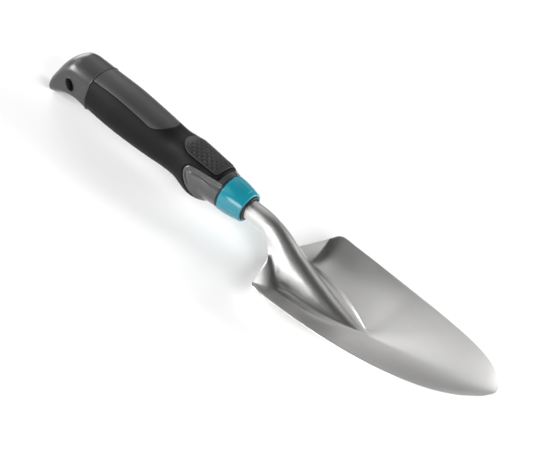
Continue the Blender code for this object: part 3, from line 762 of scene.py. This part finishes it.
STEEL = satin_steel()
CORE_PLASTIC = core_plastic()
GRIP_PLASTIC = moulded("black_soft_plastic", (0.0025, 0.0025, 0.0026), (0.004, 0.004, 0.0041),
                       0.55, 3200, 0.00001, Specular_IOR_Level=0.2)
PAD_PLASTIC = moulded("black_pad_plastic", (0.016, 0.016, 0.0162), (0.021, 0.021, 0.0212),
                      0.5, 3200, 0.00001)
CAP_PLASTIC = moulded("grey_cap_plastic", (0.034, 0.034, 0.0345), (0.042, 0.042, 0.0425),
                      0.3, 2600, 0.000006)
TEAL_PLASTIC = moulded("teal_plastic", (0.007, 0.19, 0.25), (0.011, 0.215, 0.275),
                       0.16, 1800, 0.000002, Specular_IOR_Level=0.8)
# near-black rubber of a real ring, whose blackness is painted shade for the shadowed gap between the
# nose and the collar
SEAL_RUBBER_PAINTED_SHADE = moulded("black_rubber", (0.006, 0.006, 0.006), (0.01, 0.01, 0.01),
                      0.6, 3000, 0.00001)
BUSH_PLASTIC = moulded("black_bush_plastic", (0.01, 0.01, 0.01), (0.016, 0.016, 0.016),
                       0.4, 3000, 0.000008)
PIN_STEEL = moulded("pin_steel", (0.48, 0.48, 0.48), (0.55, 0.55, 0.55),
                    0.35, 1500, 0.000004, Metallic=1.0)


# ---- Blade --------------------------------------------

def recess_half_width(x):
    """Distance of the crest from the middle."""
    share = (x - RECESS_REAR) / (RECESS_TIP - RECESS_REAR)
    return RECESS_HALF_WIDTH * (1 - min(max(share, 0.0), 1.0) ** RECESS_POWER)


def hollow_floor(inner, hollow, out):
    """Height that the bowl's curve starts from, between the inner line and the hollow's floor."""
    return inner + (hollow - inner) * min(1.0, out / HOLLOW_SHARE)


def ridge_row(x, power, middle, hollow, rim_y, rim_z):
    """Half section through the ridge, its groove, the crest and the bowl of the wing."""
    crest = recess_half_width(x)
    groove_z = CREST_Z - GROOVE_DEPTH * min(1.0, crest / RECESS_HALF_WIDTH * GROOVE_FADE)
    ridge = [(x, crest * out, middle + (groove_z - middle) * fall) for out, fall in RIDGE_SECTION]
    wall = (x, crest * WALL_SHARES[0], groove_z + (CREST_Z - groove_z) * WALL_SHARES[1])
    bowl = []
    for out in BOWL_SHARES:
        floor_z = hollow_floor(CREST_Z, hollow, out)
        bowl.append((x, crest + (rim_y - crest) * out, floor_z + (rim_z - floor_z) * out ** power))
    return ridge + [wall, (x, crest, CREST_Z)] + bowl


def with_wall_columns(row):
    """A shoulder row with columns let in for the groove's outer wall and the crest's outer foot."""
    groove, crest, outer = (np.array(row[k]) for k in (4, 5, 6))
    wall = [tuple(groove + (crest - groove) * share) for share in GROOVE_COLUMNS]
    return [*row[:5], *wall, row[5], tuple(crest + (outer - crest) * CREST_FOOT), *row[6:]]


def scoop_row(x, spread, power, middle, hollow, rim_y, rim_z):
    """Half section of the plain scoop, whose columns fan out from the tip of the recess."""
    row = []
    for k, crowded in enumerate(SCOOP_CROWDED):
        out = crowded + (k / (COLUMNS - 1) - crowded) * spread
        floor_z = hollow_floor(middle, hollow, out)
        row.append((x, rim_y * out, floor_z + (rim_z - floor_z) * out ** power))
    return row


def neck_row(x, z, lean, radius, half_opening):
    """Half of a round section that leans forward at the top, open at the bottom."""
    step = (math.pi - half_opening) / (COLUMNS - 1)
    cage_radius = radius * 3 / (2 + math.cos(step))
    row = []
    for k in range(COLUMNS):
        height, side = cage_radius * math.cos(k * step), cage_radius * math.sin(k * step)
        row.append((x + height * math.sin(lean), side, z + height * math.cos(lean)))
    return row


def tip_row(rim_y, rim_x, rim_z, middle):
    """Edge of the point, from the tip to where the rim begins."""
    row = []
    for k in range(COLUMNS):
        out = k / (COLUMNS - 1)
        x = TIP_X + (rim_x - TIP_X) * out ** TIP_POWER
        row.append((x, rim_y * out, middle + (rim_z - middle) * out))
    return row


def blade_rows():
    """Points of one half of the blade, row by row from the tang to the tip."""
    middle, = splines(MIDDLE_LINE)
    hollow, = splines(HOLLOW_LINE)
    rim_y, rim_z = splines(RIM_LINE)
    rows = [neck_row(x, z, math.radians(lean), radius, SEAM_ANGLE * opening)
            for x, z, lean, radius, opening in NECK_ROWS]
    rows += [with_wall_columns(row) for row in SHOULDER_ROWS]
    for x, power in RIDGE_ROWS:
        rows.append(ridge_row(x, power, middle(x), hollow(x), rim_y(x), rim_z(x)))
    for x, spread, power in SCOOP_ROWS:
        rows.append(scoop_row(x, spread, power, middle(x), hollow(x), rim_y(x), rim_z(x)))
    rim_x, tip_y, tip_z = RIM_LINE[-1]
    rows.append(tip_row(tip_y, rim_x, tip_z, middle(TIP_X)))
    return rows


def blade_cage(rows, crease_start, recess_end):
    """Mesh of the rows, creased along the folded edge and the crest."""
    bm = bmesh.new()
    crease = bm.edges.layers.float.new("crease_edge")
    verts = [[bm.verts.new(TROWEL @ (Vector(point) * MM)) for point in row] for row in rows]
    for a, b in zip(verts[:-1], verts[1:]):
        for k in range(COLUMNS - 1):
            bm.faces.new([a[k], b[k], b[k + 1], a[k + 1]])
    facet = verts[crease_start][CREST_COLUMN:]
    crest = [row[CREST_COLUMN] for row in verts[crease_start:recess_end]]
    for line, strength in ((facet, FACET_CREASE), (crest, CREST_CREASE)):
        for a, b in zip(line[:-1], line[1:]):
            bm.edges.get((a, b))[crease] = strength
    mesh = bpy.data.meshes.new("blade_cage")
    bm.to_mesh(mesh)
    bm.free()
    return mesh


def make_blade():
    """One pressed sheet: a cage, mirrored, subdivided, thickened and softened at its edges."""
    rows = blade_rows()
    crease_start = len(NECK_ROWS) + CREASE_ROW
    cage = blade_cage(rows, crease_start, len(NECK_ROWS) + len(SHOULDER_ROWS) + len(RIDGE_ROWS))
    blade = new_object("blade_sheet", cage)
    full = blade.vertex_groups.new(name="full_thickness")
    for index in range(len(rows) * COLUMNS):
        row, column = divmod(index, COLUMNS)
        on_rim = row >= crease_start and column == COLUMNS - 1 or row == len(rows) - 1
        full.add([index], GROUND_EDGE if on_rim else 1.0, "REPLACE")
    mirror = blade.modifiers.new("far half", "MIRROR")
    mirror.use_axis = (False, True, False)
    mirror.use_clip = True
    mirror.merge_threshold = 0.05 * MM
    surface = blade.modifiers.new("pressed surface", "SUBSURF")
    surface.levels = surface.render_levels = SUBDIVISIONS
    surface.boundary_smooth = "PRESERVE_CORNERS"
    sheet = blade.modifiers.new("sheet", "SOLIDIFY")
    sheet.thickness = SHEET * MM
    sheet.offset = -1.0
    sheet.vertex_group = full.name
    edge = blade.modifiers.new("softened edges", "BEVEL")
    edge.limit_method = "ANGLE"
    edge.angle_limit = math.radians(50)
    edge.width = EDGE_SOFTENING * MM
    edge.segments = 2
    edge.use_clamp_overlap = True
    graph = bpy.context.evaluated_depsgraph_get()
    finished = bpy.data.meshes.new_from_object(blade.evaluated_get(graph))
    blade.modifiers.clear()
    blade.data = finished
    bpy.data.meshes.remove(cage)
    finished.shade_smooth()
    finished.set_sharp_from_angle(angle=math.radians(60))
    finished.materials.clear()
    finished.materials.append(STEEL)
    settle(blade, ["blade"])


# ---- Handle -------------------------------------------

ROUND = np.linspace(-math.pi / 2, 3 * math.pi / 2, 129)


def over_top(half_turn, count):
    """Angles of a section from one side of its top to the other."""
    return np.linspace(math.pi / 2 - half_turn, math.pi / 2 + half_turn, count)


def make_soft_grip():
    """Sleeve with rolled edges at the window, the bare nose, the thumb pad and its two ends."""
    def limits(point):
        x = point[..., 0]
        return np.stack([
            outside_window(point) - WINDOW_BACK,
            outside_pad(point) - PAD_BACK,
            smooth_min(outside_nose(point), GRIP_FRONT - x, 2.0),
            x - (GRIP_REAR + GAP / 2),
        ])

    def field(point):
        return limits(point).min(0)

    def radius(point):
        at_pad = PAD_GRIP_ROLL - PAD_GRIP_ROLL_LOSS * smooth_step(*PAD_ROLL_FADE, point[..., 0])
        sizes = (WINDOW_GRIP_ROLL, at_pad, GRIP_FRONT_ROLL, GRIP_REAR_ROLL)
        sizes = np.stack([size + 0 * at_pad for size in sizes])
        return np.take_along_axis(sizes, limits(point).argmin(0)[None], 0)[0]

    us = np.arange(GRIP_REAR - 0.4, GRIP_FRONT + 1.2, CELL)
    body = rolled_shell(handle_surface, us, ROUND, field, radius, GRIP_WALL)
    add_piece("soft_grip_sleeve", body, GRIP_PLASTIC, ["soft_grip"])


def pad_relief(point):
    """Slight crown over the grip, with staggered dimples."""
    x, y, z = point[..., 0], point[..., 1], point[..., 2]
    inside = -outside_pad(point)
    crown = PAD_CROWN * smooth_step(*PAD_CROWN_RISE, x)
    along, around = x - DIMPLE_ORIGIN, np.arctan2(y, z) * PAD_TURN_RADIUS
    row = np.round(along / (DIMPLE_PITCH / 2))
    across = around / DIMPLE_PITCH + 0.5 * (row % 2)
    offset = np.hypot(along - row * DIMPLE_PITCH / 2, (across - np.round(across)) * DIMPLE_PITCH)
    bowl = np.maximum(1 - (offset / DIMPLE_RADIUS) ** 2, 0) ** 1.5
    shown = smooth_step(*DIMPLE_MARGIN, inside) * smooth_step(*DIMPLE_START, x)
    return crown - DIMPLE_DEPTH * bowl * shown


def make_thumb_pad():
    """Dimpled pad with a rolled edge, let into the top of the grip."""
    def field(point):
        return -outside_pad(point)

    def radius(point):
        return PAD_ROLL - PAD_ROLL_LOSS * smooth_step(*PAD_ROLL_FADE, point[..., 0])

    us = np.arange(PAD_REAR - 0.6, PAD_FRONT + 0.6, PAD_CELL)
    half_turn = math.asin(0.8)
    count = int(2 * half_turn * PAD_TURN_RADIUS / PAD_CELL)
    vs = over_top(half_turn, count)
    body = rolled_shell(raised(handle_surface, pad_relief), us, vs, field, radius, PAD_WALL)
    add_piece("dimpled_thumb_pad", body, PAD_PLASTIC, ["thumb_pad"])


def bump(value, height, centre, half_width):
    """A smooth ridge over the values within half_width of the centre, or a valley."""
    return height * np.maximum(1 - ((value - centre) / half_width) ** 2, 0) ** 2


def parting_lines(angle, radius):
    """1 on the fine grooves that the mould's halves leave along each side, 0 elsewhere."""
    lines = 0
    for line in PARTING_LINES:
        off_line = ((angle - line + math.pi) % math.tau - math.pi) * radius
        lines = lines + np.exp(-(off_line / PARTING_HALF_WIDTH) ** 2)
    return lines


def nose_surface(x, angle):
    """Round nose with a bead along its rim, a valley inside the bead and a fine parting line."""
    grip = handle_surface(x, angle, NOSE_INSET)
    radius = NOSE_RADIUS(x)
    round_nose = round_section(x, angle, radius)
    inside = -outside_nose(grip)
    share = smooth_step(*NOSE_BLEND, inside)
    relief = bump(inside, *BEAD) + bump(inside, *VALLEY)
    relief = relief - NOSE_LINE_DEPTH * parting_lines(angle, radius) * smooth_step(3.0, 4.5, inside)
    outward = np.stack([0 * x, np.cos(angle), np.sin(angle)], -1)
    return grip + (round_nose - grip) * share[..., None] + outward * relief[..., None]


def make_handle_core():
    """Window panel, bare nose and the body under the grip."""
    def window_field(point):
        inside = -outside_window(point) - WINDOW_BACK
        return np.minimum(inside, point[..., 0] - (GRIP_REAR + GAP / 2))

    def nose_field(point):
        nose = np.maximum(-outside_nose(point) - NOSE_BACK, point[..., 0] - GRIP_FRONT)
        return np.minimum(nose, NOSE_FRONT - point[..., 0])

    def even(radius):
        return lambda point: radius + 0 * point[..., 0]

    us = np.arange(GRIP_REAR - 0.4, WINDOW_FRONT + 0.8, WINDOW_CELL)
    vs = over_top(math.radians(62), 49)
    window = rolled_shell(handle_surface, us, vs, window_field, even(WINDOW_ROLL), WINDOW_WALL)
    us = np.arange(-45.0, NOSE_FRONT + 1.0, NOSE_CELL)
    beside_line = np.array([-0.5, -0.35, -0.25, -0.15, -0.07, 0.0, 0.07, 0.15, 0.25, 0.35, 0.5]) / 12
    lines = [PARTING_LINES[0] + beside_line, PARTING_LINES[1] - math.tau + beside_line]
    vs = np.sort(np.concatenate([np.linspace(ROUND[0], ROUND[-1], 225), *lines]))
    nose = rolled_shell(nose_surface, us, vs, nose_field, even(NOSE_ROLL), NOSE_WALL)
    angles = ROUND[:-1]
    tube = rings_body([handle_surface(np.full_like(angles, x), angles, CORE_INSET)
                       for x in np.linspace(GRIP_REAR + GAP, GRIP_FRONT - 2, 40)])
    spigot = rings_body([round_section(np.full_like(angles, x), angles, SPIGOT_RADIUS)
                         for x in (GRIP_FRONT - 4, SPIGOT_FRONT)])
    add_piece("handle_core_shell", joined(window, nose, tube, spigot), CORE_PLASTIC, ["handle_core"])


CAP_END_ROUND = 2.4  # rounding of the tail's end
FACET_SOFTNESS = 0.5  # rounding where the flat sides begin
CAP_LENGTHS = np.linspace(CAP_STATIONS[0][0], CAP_STATIONS[-1][0], 400)


def cap_path():
    """Length along the top of the cap at each of CAP_LENGTHS, to space the rings evenly."""
    tops = CAP_CURVES[0](CAP_LENGTHS)
    return np.concatenate([[0], np.cumsum(np.hypot(np.diff(CAP_LENGTHS), np.diff(tops)))])


CAP_PATH = cap_path()


def cap_surface(u, angle):
    """u is the length along the top from the seam; past its end the tail closes in a rounded end."""
    x = np.interp(u, CAP_PATH, CAP_LENGTHS)
    left = np.clip((x - CAP_STATIONS[-1][0]) / CAP_END_ROUND, 0, 1)
    inset = CAP_END_ROUND * (1 - np.sqrt(np.maximum(1 - (1 - left) ** 2, 0)))
    top, bottom, half_width = (curve(x) for curve in CAP_CURVES)
    point = section(x, angle, top - inset, bottom + inset, half_width - inset,
                    CAP_SQUARENESS, CAP_SQUARENESS)
    closing = np.clip(u - CAP_PATH[-1], 0, 1)[..., None]
    middle = np.stack([x, 0 * x, (top + bottom) / 2], -1)
    point = point + (middle - point) * closing
    x, y, z = point[..., 0], point[..., 1], point[..., 2]
    rise = math.tan(FACET_TILT) * (z - HOLE_Z) + math.tan(FACET_YAW) * (x - HOLE_X)
    side = smooth_min(np.abs(y), FACET_OFFSET + rise, FACET_SOFTNESS)
    return np.stack([x, np.where(np.abs(y) > 2, np.sign(y) * side, y), z], -1)


def make_end_cap():
    """Cap with flat sides, a rolled hanging hole right through, and a drooping tail."""
    def field(point):
        return np.maximum(hole_distance(point), 6 - np.abs(point[..., 1])) - HOLE_ROLL

    closing = CAP_PATH[-1] + np.array([0.0, 0.5, 1.0])
    us = np.concatenate([np.arange(0.0, CAP_PATH[-1], CAP_CELL), closing])
    points, normals, faces = cut_sheet(cap_surface, us, ROUND, field)
    at_seam = points[:, 0] > CAP_STATIONS[0][0] - 0.01
    radius = np.where(at_seam, CAP_SEAM_ROLL, HOLE_ROLL)
    verts, roll, border, last = rolled_border(points, normals, faces, radius)
    bm = bmesh.new()
    made = [bm.verts.new(vert) for vert in verts]
    for face in faces + roll:
        bm.faces.new([made[k] for k in face])
    seam, through = [], []
    for a, b in border:
        edges = seam if at_seam[a] else through
        edges.append(bm.edges.get((made[last[a]], made[last[b]])))
    bmesh.ops.bridge_loops(bm, edges=through)
    bmesh.ops.holes_fill(bm, edges=seam, sides=0)
    bm.verts.index_update()
    shape = [[vert.index for vert in face.verts] for face in bm.faces]
    body = (np.array([vert.co[:] for vert in bm.verts]), shape)
    bm.free()
    add_piece("end_cap_with_hole", body, CAP_PLASTIC, ["end_cap"])


def collar_radius(x):
    share = (x - COLLAR_REAR) / (COLLAR_FRONT - COLLAR_REAR)
    return COLLAR_REAR_RADIUS + (COLLAR_MOUTH_RADIUS - COLLAR_REAR_RADIUS) * share ** 1.8


def collar_relief(x, radius, angles):
    """Raised key along the top, and a fine parting line along each side."""
    if radius < BUSH_RADIUS + 1.2:
        return 0 * angles
    off_top = np.abs(angles - math.pi / 2) * radius
    key = KEY_HEIGHT * smooth_step(*KEY_SIDE, off_top) * smooth_step(*KEY_FRONT, x)
    lines = COLLAR_LINE_DEPTH * parting_lines(angles, radius)
    return key - lines * smooth_step(COLLAR_FRONT, COLLAR_FRONT - 0.6, x)


def make_collar():
    outer = [(x, collar_radius(x), 0) for x in np.linspace(COLLAR_FRONT - 0.9, COLLAR_REAR + 0.6, 60)]
    corners = [(COLLAR_FRONT, BUSH_RADIUS + GAP, 0.2), (COLLAR_FRONT, COLLAR_MOUTH_RADIUS, 0.5), *outer,
               (COLLAR_REAR, COLLAR_REAR_RADIUS, 0.3), (COLLAR_REAR, SPIGOT_RADIUS + GAP, 0),
               (COLLAR_STEP, SPIGOT_RADIUS + GAP, 0), (COLLAR_STEP, BUSH_RADIUS + GAP, 0)]
    body = turned_body(fillet(corners), 720, collar_relief)
    add_piece("teal_collar", body, TEAL_PLASTIC, ["collar"])


# Ring sunk between the nose and the collar; its near-black colour is painted shade standing in for the
# gap's shadow
def make_seal_ring():
    front, rear, radius = COLLAR_REAR - 0.12, NOSE_FRONT + 0.12, COLLAR_REAR_RADIUS - 0.45
    inner = SPIGOT_RADIUS + GAP
    corners = [(front, inner, 0), (front, radius, 0.35), (rear, radius, 0.35), (rear, inner, 0)]
    body = turned_body(fillet(corners))
    add_piece("seal_ring_painted_gap_shade", body, SEAL_RUBBER_PAINTED_SHADE, ["seal_ring"])


def make_neck_bush():
    bore = NECK_RADIUS + 0.15
    lip = COLLAR_FRONT + BUSH_LIP
    corners = [(lip, bore + 0.3, 0.25), (lip, BUSH_RADIUS, 0.45), (SPIGOT_FRONT + GAP, BUSH_RADIUS, 0),
               (SPIGOT_FRONT + GAP, bore, 0)]
    body = turned_body(fillet(corners))
    add_piece("neck_bush_lip", body, BUSH_PLASTIC, ["neck_bush"])


# ---- Stage --------------------------------------------

CAMERA_AIM = Vector((18.2, 0.4, 1.6)) * MM
CAMERA_DISTANCE = 1.105
CAMERA_AZIMUTH = math.radians(25.3)
CAMERA_ELEVATION = math.radians(35.22)
CAMERA_ROLL = math.radians(22.84)
CAMERA_LENS = 126.65
FLOOR_HALF_SIZE = 6.0
FLOOR_DROP = 0.0002  # below the row frame's ground, to clear the finished blade
LIGHT_DISTANCE = 1.5
# Azimuth and elevation in degrees, size in metres, and watts
SOFT_LIGHTS = (
    (0, 8, 0.6, 5),          # low, from the near side: opens the handle's shaded side
    (50, 25, 1.3, 1.5),      # from the near side of the tip, seen in the steel from behind
    (140, 18, 0.9, 11),      # low, from the far side of the tip: folded shoulders
    (160, 37, 1.1, 1.4),     # far side, ahead: top of the spine and the folded shoulders
    (208, 32, 0.9, 1.1),     # far side, seen in the level parts of the steel
    (240, 62, 0.9, 0.4),     # overhead, faint: keeps the tops of the spine and neck open
    (240, 42, 1.3, 1.6),     # seen in the front of the hollow
    (240, 10, 0.9, 12),      # low, from behind the cap: brightens the blade towards its tip
    (275, 30, 0.9, 5),       # from the tail: top of the handle
    (305, 12, 0.6, 20),      # low, from the near tail end: near side of the cap and neck
    (328, 36, 0.9, 1.3),     # near side, above: highlights of the spine's wall, nose and collar
)
# The same, for lights that brighten the floor and aren't mirrored in any surface
FLOOR_LIGHTS = ((60, 30, 0.9, 17), (120, 8, 0.6, 33))
WORLD_STRENGTH = 0.03


def direction(azimuth, elevation):
    """Unit vector towards a place seen at this azimuth, as the camera's is counted, and elevation."""
    flat = math.cos(elevation)
    return Vector((math.sin(azimuth) * flat, -math.cos(azimuth) * flat, math.sin(elevation)))


def make_camera():
    data = bpy.data.cameras.new("camera")
    data.lens = CAMERA_LENS
    data.sensor_width = 36.0
    data.clip_start = 0.05
    camera = new_object("camera", data)
    away = direction(CAMERA_AZIMUTH, CAMERA_ELEVATION)
    turn = (-away).to_track_quat("-Z", "Y").to_matrix().to_4x4() @ Matrix.Rotation(CAMERA_ROLL, 4, "Z")
    camera.matrix_world = TROWEL @ Matrix.Translation(CAMERA_AIM + away * CAMERA_DISTANCE) @ turn
    bpy.context.scene.camera = camera


def make_light(azimuth, elevation, size, power):
    """Round soft light a fixed way off, turned to the trowel, and not seen itself."""
    data = bpy.data.lights.new("soft light", "AREA")
    data.shape = "DISK"
    data.size = size
    data.energy = power
    light = new_object("soft light", data)
    light.visible_camera = False
    away = direction(math.radians(azimuth), math.radians(elevation))
    light.matrix_world = (Matrix.Translation(away * LIGHT_DISTANCE)
                          @ (-away).to_track_quat("-Z", "Y").to_matrix().to_4x4())
    return light


def make_floor():
    bm = bmesh.new()
    bmesh.ops.create_grid(bm, x_segments=8, y_segments=8, size=FLOOR_HALF_SIZE)
    mesh = bpy.data.meshes.new("floor")
    bm.to_mesh(mesh)
    bm.free()
    mesh.materials.append(floor_look())
    floor = new_object("floor", mesh)
    floor.location.z = -FLOOR_DROP


def make_stage():
    make_floor()
    for light in SOFT_LIGHTS:
        make_light(*light)
    for light in FLOOR_LIGHTS:
        make_light(*light).visible_glossy = False
    world = bpy.data.worlds.new("studio")
    world.use_nodes = True
    background = world.node_tree.nodes["Background"]
    background.inputs["Color"].default_value = (1, 1, 1, 1)
    background.inputs["Strength"].default_value = WORLD_STRENGTH
    bpy.context.scene.world = world
    bpy.context.scene.view_settings.view_transform = "Standard"


make_camera()
make_stage()
make_blade()
make_soft_grip()
make_thumb_pad()
make_handle_core()
make_end_cap()
make_collar()
make_seal_ring()
make_neck_bush()
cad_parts["tang_pin"].material_slots[0].material = PIN_STEEL
